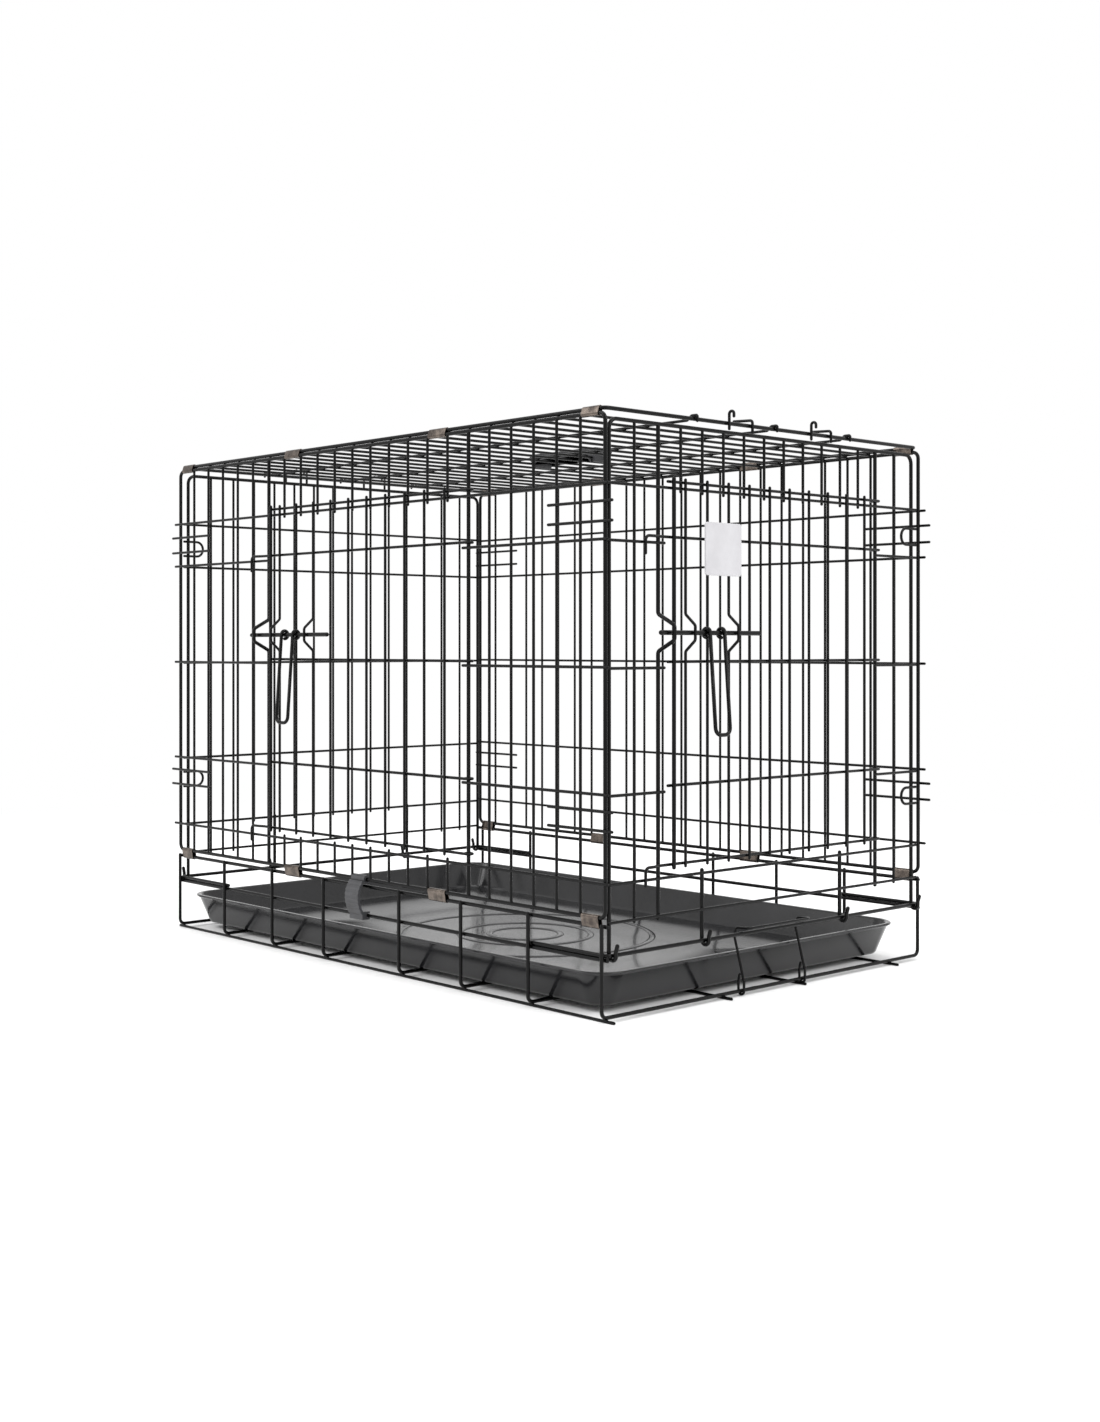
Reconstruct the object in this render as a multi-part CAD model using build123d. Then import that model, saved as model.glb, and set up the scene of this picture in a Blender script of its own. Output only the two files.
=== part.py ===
"""Folding wire dog cage: base, two side panels, two end panels, top, two doors with bolts, tray and clips."""

import math
import os

from build123d import *

os.makedirs("parts", exist_ok=True)

# Wire radii
MESH_R = 1.25
ROD_R = 1.7
BASE_R = 1.6
BOLT_R = 2.0
PULL_R = 1.6
BAIL_R = 1.1

# Fits
WELD_GAP = 0.02
EYE_GAP = 0.35
DOOR_EYE_GAP = 0.4
PULL_EYE_GAP = 0.1
CLIP_GAP = 0.05

# Overall layout, with X along the length and Y across
SIDE_PLANE = 209.5
END_PLANE = 302.0
POST_X = 305.0
PITCH = 2 * POST_X / 23
ROW_OVERHANG = 5.0
SIDE_INSET = 1.3

# Side panels
SIDE_BOTTOM = 81.5
SIDE_TOP = 473.4
SIDE_CORNER = 6.0
SIDE_ROWS = {"a": 418.5, "b": 375.0, "c": 276.0, "d": 177.5, "e": 108.7}
GUIDE_HEIGHTS = (404.5, 389.0, 164.5, 149.5)
GUIDE_START = POST_X - 60.0
GUIDE_END = POST_X + 10.0

# End panels
END_POST = SIDE_PLANE - SIDE_INSET - 5.8
END_DROP = 3.8
END_TOP = SIDE_TOP - END_DROP
END_CORNER = 8.0
END_ROWS = {"a": 419.0, "b": 374.6, "c": 275.0, "d": 176.0, "e": 107.3, "f": 77.6}
END_ROW_OVERHANG = 1.2
END_ROW_REACH = END_POST + ROD_R + END_ROW_OVERHANG
LEG_U = 3.5 * PITCH
LOOP_HEIGHTS = ((401.2, 386.2), (161.4, 146.4))
LOOP_REACH = END_POST - 12.4

# Doors, the same for the side and the end
OPENING_POST = 5.5 * PITCH
DOOR_PITCH = 26.8
DOOR_FIRST = -119.6
DOOR_COLUMNS = 10
DOOR_LATCH_ROD = -134.0
DOOR_BARS = (424.0, 379.6, 279.8, 180.7, 117.5)
HOOK_BARS = (379.6, 117.5)
HOOK_U = -166.8
HOOK_DROP = 14.0
BOLT_Z = 303.0
BOLT_OUT = 12.75
BOLT_TIP = 12.5
BOLT_LENGTH = 125.0
KEEPER_BULGE = 17.45
GUIDE_BULGE = 16.2
PULL_LENGTH = 83.0
PULL_WIDTH = 18.0
PULL_LEAN = 4.2
EYE_TURN = 285.0

# Label plate
LABEL_LEFT = -98.0
LABEL_WIDTH = 45.0
LABEL_BOTTOM = 350.0
LABEL_HEIGHT = 43.5
LABEL_THICK = 1.6

# Top
TOP_RISE = 3.8
TOP_Z = SIDE_TOP + TOP_RISE
TOP_SIDE = SIDE_PLANE - SIDE_INSET
TOP_END = END_PLANE + 1.0
TOP_CORNER = 5.0
CROSS_Z = TOP_Z - ROD_R - MESH_R
CROSS_REACH = TOP_SIDE - 0.7
LONG_Y = (-103.0, 0.0, 103.0)
CATCH_FINGER = 20.0
CATCH_PAIRS = ((-63.0, -33.0), (47.0, 75.0))

# Sheet hinge clips
CLIP_T = 0.65
CLIP_WIDE = 22.5
CLIP_NARROW = 18.4
CLIP_INNER_X = 4 * PITCH
CLIP_OUTER_X = 289.6

# Base
BASE_SIDE = SIDE_PLANE - SIDE_INSET
BASE_SIDE_Z = 75.0
BASE_MID_Z = 49.0
BASE_ROD_END = POST_X + 1.0
FLOOR_Y = (-206.0, -66.0, 32.0, 168.0)
FLOOR_END = POST_X + 6.0
CROSS_X = (-303.0, -220.5, -138.0, -55.5, 55.5, 138.0, 220.5, 303.0)
CROSS_TOP = 76.0
CROSS_BEND = 5.5
END_ROD_LEG = 218.0
END_ROD_BEND = 4.0

# Tray
TRAY_FRONT = 294.0
TRAY_REAR = -306.0
TRAY_HALF = 203.0
TRAY_FLOOR = 6.0
TRAY_RIM = 35.4
TRAY_WALL = 2.0
TRAY_SLOPE = 11.0
TRAY_LIP = 3.0
TRAY_CORNER = 30.0
TRAY_RINGS = (30.0, 70.0, 110.0)
RING_W = 6.0
RING_H = 0.8

# Carry handle
HANDLE_START = -21.0
HANDLE_END = 74.0
HANDLE_Y = 30.0
HANDLE_W = 20.0
HANDLE_TOP = CROSS_Z + 9.75
HANDLE_T = 6.5

# Fold clip and tray retainer
FOLD_X = -1.5
FOLD_W = 19.0
FOLD_T = 2.2
RETAINER_Y = (-44.0, 38.0)

# Levels that follow from the layout
COLUMN_OUT = ROD_R - MESH_R
ROW_OUT = ROD_R + MESH_R + WELD_GAP
BAR_OUT = ROD_R + DOOR_EYE_GAP + MESH_R
DOOR_OUT = BAR_OUT + 2 * MESH_R + WELD_GAP
LATCH_OUT = BAR_OUT + MESH_R + ROD_R + WELD_GAP
EYE_R = ROD_R + EYE_GAP + ROD_R
END_ROD_X = END_PLANE + EYE_R
FLOOR_Z = MESH_R
CROSS_BOTTOM = 2 * MESH_R + BASE_R + WELD_GAP
CROSS_SIDE = BASE_SIDE + ROD_R + BASE_R + WELD_GAP
END_ROD_Z = BASE_MID_Z + 2 * ROD_R + WELD_GAP


def sweptEdge(edge, radius):
    return sweep(Plane(origin=edge @ 0, z_dir=edge % 0) * Circle(radius), edge).solid()


def wire(points, bends, radius, closed=False):
    path = FilletPolyline(*points, radius=bends, close=closed)
    return [sweptEdge(edge, radius) for edge in path.edges()]


def bar(start, end, radius):
    run = Vector(*end) - Vector(*start)
    return Solid.make_cylinder(radius, run.length, Plane(origin=start, z_dir=run.normalized()))


def arcs(plane, bend, radius, first, turn):
    """Part of a ring in the plane, in pieces of at most a quarter turn."""
    count = math.ceil(abs(turn) / 90)
    made = []
    for k in range(count):
        angles = [math.radians(first + turn * (k + part) / count) for part in (0, 0.5, 1)]
        ends = [plane.from_local_coords((bend * math.cos(a), bend * math.sin(a), 0)) for a in angles]
        made.append(sweptEdge(ThreePointArc(*ends).edge(), radius))
    return made


def save(solids, name, seat=Location()):
    made = [seat * solid for solid in solids]
    export_step(made[0] if len(made) == 1 else Compound(children=made), f"parts/{name}.step")


def at(u, out, z):
    """A point of a panel, with u to the right as seen from outside and out away from the cage."""
    return (u, -out, z)


nearSide = Pos(0, -SIDE_PLANE, 0)
farSide = Rot(0, 0, 180) * Pos(0, -SIDE_PLANE, 0)
frontEnd = Rot(0, 0, 90) * Pos(0, -END_PLANE, 0)
rearEnd = Rot(0, 0, -90) * Pos(0, -END_PLANE, 0)


def column(u, low, high):
    return bar(at(u, COLUMN_OUT, low), at(u, COLUMN_OUT, high), MESH_R)


def openingPost(u, low, high):
    return bar(at(u, 0, low), at(u, 0, high), ROD_R)


def row(first, last, z, out=ROW_OUT):
    return bar(at(first, out, z), at(last, out, z), MESH_R)


def kinked(u, out, bulge, low, high, radius, bend):
    """An upright that steps out round the bolt and back."""
    points = [
        at(u, out, low),
        at(u, out, BOLT_Z - 15),
        at(u, bulge, BOLT_Z - 6),
        at(u, bulge, BOLT_Z + 6),
        at(u, out, BOLT_Z + 15),
        at(u, out, high),
    ]
    return wire(points, bend, radius)


# Side panels
def sideFrame():
    corners = [
        at(-POST_X, 0, SIDE_BOTTOM),
        at(POST_X, 0, SIDE_BOTTOM),
        at(POST_X, 0, SIDE_TOP),
        at(-POST_X, 0, SIDE_TOP),
    ]
    return wire(corners, SIDE_CORNER, ROD_R, closed=True)


def sideColumns(door):
    low = SIDE_BOTTOM + ROD_R + WELD_GAP
    high = SIDE_TOP - ROD_R - WELD_GAP
    made = []
    for i in range(1, 23):
        u = -POST_X + i * PITCH
        if door and i in (6, 17):
            continue
        if door and 6 < i < 17:
            made.append(column(u, low, SIDE_ROWS["e"] + MESH_R + 1))
            made.append(column(u, SIDE_ROWS["a"] - MESH_R - 1, high))
        else:
            made.append(column(u, low, high))
    return made


def sideRows(door):
    reach = POST_X + ROW_OVERHANG
    stub = OPENING_POST - 4
    made = []
    for name, z in SIDE_ROWS.items():
        if door and name in "bcd":
            made += [row(-reach, -stub, z), row(stub, reach, z)]
        else:
            made.append(row(-reach, reach, z))
    return made


def sideGuides():
    runs = ((-GUIDE_END, -GUIDE_START), (GUIDE_START, GUIDE_END))
    return [row(first, last, z) for z in GUIDE_HEIGHTS for first, last in runs]


sideLow = SIDE_BOTTOM + ROD_R + WELD_GAP
sideHigh = SIDE_TOP - ROD_R - WELD_GAP
save(sideFrame(), "near_side_frame", nearSide)
save(sideColumns(True), "near_side_uprights", nearSide)
save(sideRows(True), "near_side_rows", nearSide)
save(sideGuides(), "near_side_guide_wires", nearSide)
save([openingPost(OPENING_POST, sideLow, sideHigh)], "near_side_hinge_post", nearSide)
save(kinked(-OPENING_POST, 0, KEEPER_BULGE, sideLow, sideHigh, ROD_R, 3.5), "near_side_keeper_post", nearSide)
save(sideFrame(), "far_side_frame", farSide)
save(sideColumns(False), "far_side_uprights", farSide)
save(sideRows(False), "far_side_rows", farSide)
save(sideGuides(), "far_side_guide_wires", farSide)


# End panels
def endFrame():
    points = [
        at(-END_POST, 0, END_ROD_Z + EYE_R + 2),
        at(-END_POST, 0, END_TOP),
        at(END_POST, 0, END_TOP),
        at(END_POST, 0, END_ROD_Z + EYE_R + 2),
    ]
    return wire(points, END_CORNER, ROD_R)


def hingeEye(u, top):
    """A leg that comes down inside the base end rod, turns under it and ends in a tail outside."""
    points = [
        at(u, 0, top),
        at(u, 0, END_ROD_Z - EYE_R),
        at(u, 2 * EYE_R, END_ROD_Z - EYE_R),
        at(u, 2 * EYE_R, END_ROD_Z + 3),
        at(u, 2 * EYE_R + 1.6, END_ROD_Z + 8),
    ]
    return wire(points, [EYE_R - 0.01, EYE_R - 0.01, 3], ROD_R)


def endLegs(legTop):
    post = END_ROD_Z + EYE_R + 2
    made = []
    for u, top in ((-END_POST, post), (-LEG_U, legTop), (LEG_U, legTop), (END_POST, post)):
        made += hingeEye(u, top)
    return made


def endColumns(door):
    high = END_TOP - ROD_R - WELD_GAP
    outer = (OPENING_POST + END_POST) / 2
    low = END_ROWS["f"] - MESH_R - 1
    made = [column(u, low, high) for u in (-outer, outer)]
    if not door:
        made += [column(u, low, high) for u in (-OPENING_POST, OPENING_POST)]
    for i in range(10):
        u = (i - 4.5) * PITCH
        if door:
            made.append(column(u, END_ROWS["a"] - MESH_R - 1, high))
        elif abs(abs(u) - LEG_U) < 1:
            made.append(column(u, END_ROWS["e"] + 2, high))
        else:
            made.append(column(u, END_ROWS["e"] - MESH_R - 1, high))
    return made


def endRows(door):
    stub = OPENING_POST - 4
    made = []
    for name, z in END_ROWS.items():
        if door and name in "bcd":
            made += [row(-END_ROW_REACH, -stub, z), row(stub, END_ROW_REACH, z)]
        else:
            made.append(row(-END_ROW_REACH, END_ROW_REACH, z))
    return made


def cornerLoops():
    made = []
    for high, low in LOOP_HEIGHTS:
        points = [
            at(END_ROW_REACH, ROW_OUT, high),
            at(LOOP_REACH - (high - low) / 2, ROW_OUT, high),
            at(LOOP_REACH - (high - low) / 2, ROW_OUT, low),
            at(END_ROW_REACH, ROW_OUT, low),
        ]
        made += wire(points, (high - low) / 2 - 0.01, MESH_R)
    return made


endLow = END_ROWS["f"] - MESH_R - 1
endHigh = END_TOP - ROD_R - WELD_GAP
for seat, side, door in ((frontEnd, "front", True), (rearEnd, "rear", False)):
    save(endFrame(), f"{side}_end_frame", seat)
    save(endColumns(door), f"{side}_end_uprights", seat)
    save(endRows(door), f"{side}_end_rows", seat)
    save(endLegs(END_ROWS["e"] + 1.9), f"{side}_end_hinge_legs", seat)
    save(cornerLoops(), f"{side}_end_corner_loops", seat)
save([openingPost(OPENING_POST, endLow, endHigh)], "front_end_hinge_post", frontEnd)
save(kinked(-OPENING_POST, 0, KEEPER_BULGE, endLow, endHigh, ROD_R, 3.5), "front_end_keeper_post", frontEnd)


# Doors
def doorColumns():
    low = DOOR_BARS[-1] - MESH_R - 1
    high = DOOR_BARS[0] + MESH_R + 1
    places = [DOOR_FIRST + i * DOOR_PITCH for i in range(DOOR_COLUMNS) if i not in (0, 2)]
    return [bar(at(u, DOOR_OUT, low), at(u, DOOR_OUT, high), MESH_R) for u in places]


def doorGuides():
    low = DOOR_BARS[-1] - MESH_R - 1
    high = DOOR_BARS[0] + MESH_R + 1
    made = []
    for i in (0, 2):
        made += kinked(DOOR_FIRST + i * DOOR_PITCH, DOOR_OUT, GUIDE_BULGE, low, high, MESH_R, 3)
    return made


def doorLatchRod():
    low = DOOR_BARS[-1] - MESH_R - 1
    high = DOOR_BARS[0] + MESH_R + 1
    return [bar(at(DOOR_LATCH_ROD, LATCH_OUT, low), at(DOOR_LATCH_ROD, LATCH_OUT, high), ROD_R)]


def doorBars():
    return [bar(at(DOOR_LATCH_ROD - 4, BAR_OUT, z), at(OPENING_POST, BAR_OUT, z), MESH_R) for z in DOOR_BARS]


def doorEyes():
    made = []
    for z in DOOR_BARS:
        plane = Plane(origin=at(OPENING_POST, 0, z), x_dir=(1, 0, 0), z_dir=(0, 0, 1))
        made += arcs(plane, BAR_OUT, MESH_R, -90, EYE_TURN)
    return made


def doorHooks():
    clear = ROW_OUT + 2 * MESH_R + 0.4
    made = []
    for z in HOOK_BARS:
        points = [
            at(DOOR_LATCH_ROD - 4, BAR_OUT, z),
            at(-OPENING_POST - 3, BAR_OUT, z),
            at(-OPENING_POST - 11, clear, z),
            at(HOOK_U, clear, z),
            at(HOOK_U, clear, z - HOOK_DROP),
        ]
        made += wire(points, [3, 3, 4], MESH_R)
    return made


def doorBolt():
    tip = -OPENING_POST - BOLT_TIP
    rod = bar(at(tip, BOLT_OUT, BOLT_Z), at(tip + BOLT_LENGTH, BOLT_OUT, BOLT_Z), BOLT_R)
    return [chamfer(rod.edges().filter_by(GeomType.CIRCLE), 0.5)]


def boltPull():
    """A long wire loop whose two ends are turned round the bolt."""
    bend = BOLT_R + PULL_EYE_GAP + PULL_R
    lean = math.radians(PULL_LEAN)
    middle = DOOR_FIRST + DOOR_PITCH
    startOut = BOLT_OUT + bend * math.cos(lean)
    startZ = BOLT_Z + bend * math.sin(lean)
    endOut = startOut + PULL_LENGTH * math.sin(lean)
    endZ = startZ - PULL_LENGTH * math.cos(lean)
    left = middle - PULL_WIDTH / 2
    right = middle + PULL_WIDTH / 2
    points = [
        at(left, startOut, startZ),
        at(left, endOut, endZ),
        at(right, endOut, endZ),
        at(right, startOut, startZ),
    ]
    made = wire(points, 6, PULL_R)
    for u in (left, right):
        plane = Plane(origin=at(u, BOLT_OUT, BOLT_Z), x_dir=(0, -1, 0), z_dir=(-1, 0, 0))
        made += arcs(plane, bend, PULL_R, PULL_LEAN, EYE_TURN)
    return made


for seat, name in ((nearSide, "side"), (frontEnd, "end")):
    save(doorColumns(), f"{name}_door_uprights", seat)
    save(doorGuides(), f"{name}_door_bolt_guides", seat)
    save(doorLatchRod(), f"{name}_door_latch_rod", seat)
    save(doorBars(), f"{name}_door_bars", seat)
    save(doorEyes(), f"{name}_door_hinge_eyes", seat)
    save(doorHooks(), f"{name}_door_hooks", seat)
    save(doorBolt(), f"{name}_bolt", seat)
    save(boltPull(), f"{name}_bolt_pull", seat)

plateOut = DOOR_OUT + MESH_R + WELD_GAP
plate = extrude(RectangleRounded(LABEL_WIDTH, LABEL_HEIGHT, 2.5), LABEL_THICK)
plate = chamfer(plate.faces().sort_by(Axis.Z)[-1].edges(), 0.3)
middleU = LABEL_LEFT + LABEL_WIDTH / 2
middleZ = LABEL_BOTTOM + LABEL_HEIGHT / 2
platePlane = Plane(origin=at(middleU, plateOut, middleZ), x_dir=(1, 0, 0), z_dir=(0, -1, 0))
save([platePlane.location * plate.solid()], "label_plate", frontEnd)


# Top
topCorners = [
    (-TOP_END, -TOP_SIDE, TOP_Z),
    (TOP_END, -TOP_SIDE, TOP_Z),
    (TOP_END, TOP_SIDE, TOP_Z),
    (-TOP_END, TOP_SIDE, TOP_Z),
]
save(wire(topCorners, TOP_CORNER, ROD_R, closed=True), "top_frame")
crossX = [-POST_X + i * PITCH for i in range(1, 23)]
save([bar((x, -CROSS_REACH, CROSS_Z), (x, CROSS_REACH, CROSS_Z), MESH_R) for x in crossX], "top_cross_wires")
longZ = CROSS_Z + 2 * MESH_R + WELD_GAP
overZ = TOP_Z + ROD_R + MESH_R + WELD_GAP
outerX = TOP_END + ROD_R + MESH_R + WELD_GAP
longWires = []
for y in LONG_Y:
    half = [(TOP_END - 8, y, longZ), (TOP_END - 3, y, overZ), (outerX, y, overZ), (outerX, y, TOP_Z - 1.7)]
    points = [(-x, y, z) for x, y, z in reversed(half)] + half
    longWires += wire(points, [1.5, 2, 2, 2, 2, 1.5], MESH_R)
save(longWires, "top_long_wires")


def catches():
    """Pairs of wires that stand in front of the top end rod: one curls outward, one runs inward over it."""
    out = TOP_END - END_PLANE + ROD_R + MESH_R + WELD_GAP
    made = []
    for curled, finger in CATCH_PAIRS:
        curl = [
            at(curled, out, TOP_Z - 5),
            at(curled, out, TOP_Z + 9.5),
            at(curled, out + 5, TOP_Z + 9.5),
            at(curled, out + 5, TOP_Z + 5),
        ]
        made += wire(curl, 2.4, MESH_R)
        reach = [at(finger, out, TOP_Z - 5), at(finger, out, TOP_Z + 4.5), at(finger, out - CATCH_FINGER, TOP_Z + 5.5)]
        made += wire(reach, 2.5, MESH_R)
    return made


save(catches(), "front_top_catches", frontEnd)
save(catches(), "rear_top_catches", rearEnd)


# Sheet clips folded round two rods
def sheetClip(x, wide, low, high):
    """low and high are the two rods as Y, Z."""
    apart = math.dist(low, high)
    angle = math.degrees(math.atan2(high[1] - low[1], high[0] - low[0]))
    inner = SlotCenterToCenter(apart, 2 * (ROD_R + CLIP_GAP), rotation=angle)
    outer = SlotCenterToCenter(apart, 2 * (ROD_R + CLIP_GAP + CLIP_T), rotation=angle)
    middle = (x - wide / 2, (low[0] + high[0]) / 2, (low[1] + high[1]) / 2)
    plane = Plane(origin=middle, x_dir=(0, 1, 0), z_dir=(1, 0, 0))
    return extrude(plane * (outer - inner), wide).solid()


clipPlaces = [
    (-CLIP_OUTER_X, CLIP_NARROW),
    (-CLIP_INNER_X, CLIP_WIDE),
    (CLIP_INNER_X, CLIP_WIDE),
    (CLIP_OUTER_X, CLIP_NARROW),
]
for name, sign in (("near", -1), ("far", 1)):
    topRods = ((sign * SIDE_PLANE, SIDE_TOP), (sign * TOP_SIDE, TOP_Z))
    baseRods = ((sign * BASE_SIDE, BASE_SIDE_Z), (sign * SIDE_PLANE, SIDE_BOTTOM))
    save([sheetClip(x, wide, *topRods) for x, wide in clipPlaces], f"{name}_top_hinge_clips")
    save([sheetClip(x, wide, *baseRods) for x, wide in clipPlaces], f"{name}_base_hinge_clips")


# Carry handle: a moulded strap with an open collar near each end
strap = Pos((HANDLE_START + HANDLE_END) / 2, 0) * RectangleRounded(HANDLE_END - HANDLE_START, HANDLE_T, 3)
strap = Pos(0, HANDLE_TOP - HANDLE_T / 2) * strap
wireX = [x for x in crossX if abs(x + PITCH / 2) < 1 or abs(x - 2.5 * PITCH) < 1]
for x in wireX:
    strap += Pos(x, (CROSS_Z + HANDLE_TOP - 3) / 2) * Rectangle(9, HANDLE_TOP - 3 - CROSS_Z)
    strap += Pos(x, CROSS_Z) * Circle(4.5)
for x in wireX:
    strap -= Pos(x, CROSS_Z) * Circle(MESH_R + CLIP_GAP)
    strap -= Pos(x, CROSS_Z - 4) * Rectangle(2.1, 8)
handlePlane = Plane(origin=(0, HANDLE_Y + HANDLE_W / 2, 0), x_dir=(1, 0, 0), z_dir=(0, -1, 0))
handle = extrude(handlePlane * strap, HANDLE_W)
topEdges = handle.edges().filter_by(Axis.X).group_by(Axis.Z)[-1]
handle = fillet(topEdges, 2.0)
save([handle.solid()], "carry_handle")


# Base
save([bar((-FLOOR_END, y, FLOOR_Z), (FLOOR_END, y, FLOOR_Z), MESH_R) for y in FLOOR_Y], "base_floor_wires")
crossWires = []
for x in CROSS_X:
    points = [
        (x, -CROSS_SIDE, CROSS_TOP),
        (x, -CROSS_SIDE, CROSS_BOTTOM),
        (x, CROSS_SIDE, CROSS_BOTTOM),
        (x, CROSS_SIDE, CROSS_TOP),
    ]
    crossWires += wire(points, CROSS_BEND, BASE_R)
save(crossWires, "base_cross_wires")
for name, z in (("base_side_rods", BASE_SIDE_Z), ("base_mid_rods", BASE_MID_Z)):
    rods = [bar((-BASE_ROD_END, y, z), (BASE_ROD_END, y, z), ROD_R) for y in (-BASE_SIDE, BASE_SIDE)]
    save(rods, name)
for name, sign in (("base_front_rod", 1), ("base_rear_rod", -1)):
    points = [
        (sign * END_ROD_LEG, -BASE_SIDE, END_ROD_Z),
        (sign * END_ROD_X, -BASE_SIDE, END_ROD_Z),
        (sign * END_ROD_X, BASE_SIDE, END_ROD_Z),
        (sign * END_ROD_LEG, BASE_SIDE, END_ROD_Z),
    ]
    save(wire(points, END_ROD_BEND, ROD_R), name)


# Tray: a shallow moulded pan with sloping walls, a rolled lip and raised rings in its floor
trayLong = TRAY_FRONT - TRAY_REAR
trayMiddle = (TRAY_FRONT + TRAY_REAR) / 2


def trayOutline(inset, z):
    corner = TRAY_CORNER - inset
    return Pos(trayMiddle, 0, z) * RectangleRounded(trayLong - 2 * inset, 2 * (TRAY_HALF - inset), corner)


rimInset = TRAY_LIP
footInset = TRAY_LIP + TRAY_SLOPE
pan = loft([trayOutline(footInset, TRAY_FLOOR), trayOutline(rimInset, TRAY_RIM)])
hollow = loft(
    [trayOutline(footInset + TRAY_WALL, TRAY_FLOOR + TRAY_WALL), trayOutline(rimInset + TRAY_WALL, TRAY_RIM)]
)
pan = pan - hollow
lipBase = TRAY_RIM - TRAY_WALL
lip = extrude(trayOutline(0, lipBase) - trayOutline(rimInset + TRAY_WALL / 2, lipBase), TRAY_WALL)
pan = pan + lip
for inset in TRAY_RINGS:
    long = trayLong - 2 * footInset - 2 * inset
    across = 2 * (TRAY_HALF - footInset - inset)
    base = TRAY_FLOOR + TRAY_WALL - 0.2
    outer = Pos(trayMiddle, 0, base) * RectangleRounded(long, across, 14)
    inner = Pos(trayMiddle, 0, base) * RectangleRounded(long - 2 * RING_W, across - 2 * RING_W, 9)
    pan = pan + extrude(outer - inner, RING_H + 0.2, taper=30)
save([pan.solid()], "tray")


# Fold clip: a moulded lever hung on the panel's bottom rod, hooked on the base's mid rod
pivot = (SIDE_PLANE, SIDE_BOTTOM)
catchRod = (BASE_SIDE, BASE_MID_Z)
collar = ROD_R + 0.15
lever = Pos(*pivot) * Circle(collar + FOLD_T)
strip = ThreePointArc(
    (pivot[0] + 3.0, pivot[1] - 0.5), (pivot[0] + 9.5, pivot[1] - 15), (pivot[0] + 4.0, catchRod[1] + 0.5)
)
lever += trace(strip, 2.6)
hookLeft = catchRod[0] - 2.1
hookRight = pivot[0] + 5.4
lever += Pos((hookLeft + hookRight) / 2, catchRod[1]) * Rectangle(hookRight - hookLeft, 7.4)
lever -= Pos(*pivot) * Circle(collar)
lever -= Pos(*catchRod) * Circle(collar)
lever -= Pos(catchRod[0] - 4, catchRod[1]) * Rectangle(8, 2 * collar)
leverPlane = Plane(origin=(FOLD_X - FOLD_W / 2, 0, 0), x_dir=(0, -1, 0), z_dir=(-1, 0, 0))
save([extrude(leverPlane * lever, -FOLD_W).solid()], "fold_clip")


# Tray retainer: a wire bail whose long eyes hang on the front cross wire
eyeHalf = BASE_R + 0.25 + BAIL_R
eyeX = CROSS_X[-1]
eyeLow = CROSS_BOTTOM - eyeHalf
profile = [
    (eyeX - eyeHalf + 1.4, 17.5),
    (eyeX - eyeHalf, 12.0),
    (eyeX - eyeHalf, eyeLow),
    (eyeX + eyeHalf, eyeLow),
    (eyeX + eyeHalf, 12.0),
    (295.5, 49.5),
    (298.0, 56.6),
    (311.5, 57.2),
]
low, high = RETAINER_Y
points = [(x, low, z) for x, z in profile] + [(x, high, z) for x, z in reversed(profile)]
half = [2.0, eyeHalf - 0.01, eyeHalf - 0.01, 2.0, 4.0, 2.5, 3.5]
save(wire(points, half + half[::-1], BAIL_R), "tray_retainer")
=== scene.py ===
import math

import bmesh
import bpy
import numpy as np
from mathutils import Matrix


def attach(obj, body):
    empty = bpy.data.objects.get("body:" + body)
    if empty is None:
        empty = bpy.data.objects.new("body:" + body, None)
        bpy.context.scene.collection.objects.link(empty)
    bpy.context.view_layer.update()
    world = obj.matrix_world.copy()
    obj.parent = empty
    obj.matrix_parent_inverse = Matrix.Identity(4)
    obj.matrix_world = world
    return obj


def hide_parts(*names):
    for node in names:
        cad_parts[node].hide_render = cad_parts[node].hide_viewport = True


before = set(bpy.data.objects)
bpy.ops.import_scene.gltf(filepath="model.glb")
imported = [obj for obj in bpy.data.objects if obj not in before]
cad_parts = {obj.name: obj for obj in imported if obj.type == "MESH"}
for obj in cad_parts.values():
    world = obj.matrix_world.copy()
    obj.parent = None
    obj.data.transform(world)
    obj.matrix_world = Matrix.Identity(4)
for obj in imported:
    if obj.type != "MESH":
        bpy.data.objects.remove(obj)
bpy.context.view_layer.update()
print("frame loaded")

mm = 0.001


# Small helpers
def linear(hexColour):
    values = [int(hexColour[i : i + 2], 16) / 255 for i in (1, 3, 5)]
    return [v / 12.92 if v <= 0.04045 else ((v + 0.055) / 1.055) ** 2.4 for v in values] + [1]


def addNode(tree, kind, settings=None, values=None, links=None):
    node = tree.nodes.new(kind)
    for name, value in (settings or {}).items():
        setattr(node, name, value)
    for name, value in (values or {}).items():
        node.inputs[name].default_value = value
    for name, source in (links or {}).items():
        tree.links.new(source, node.inputs[name])
    return node


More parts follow.
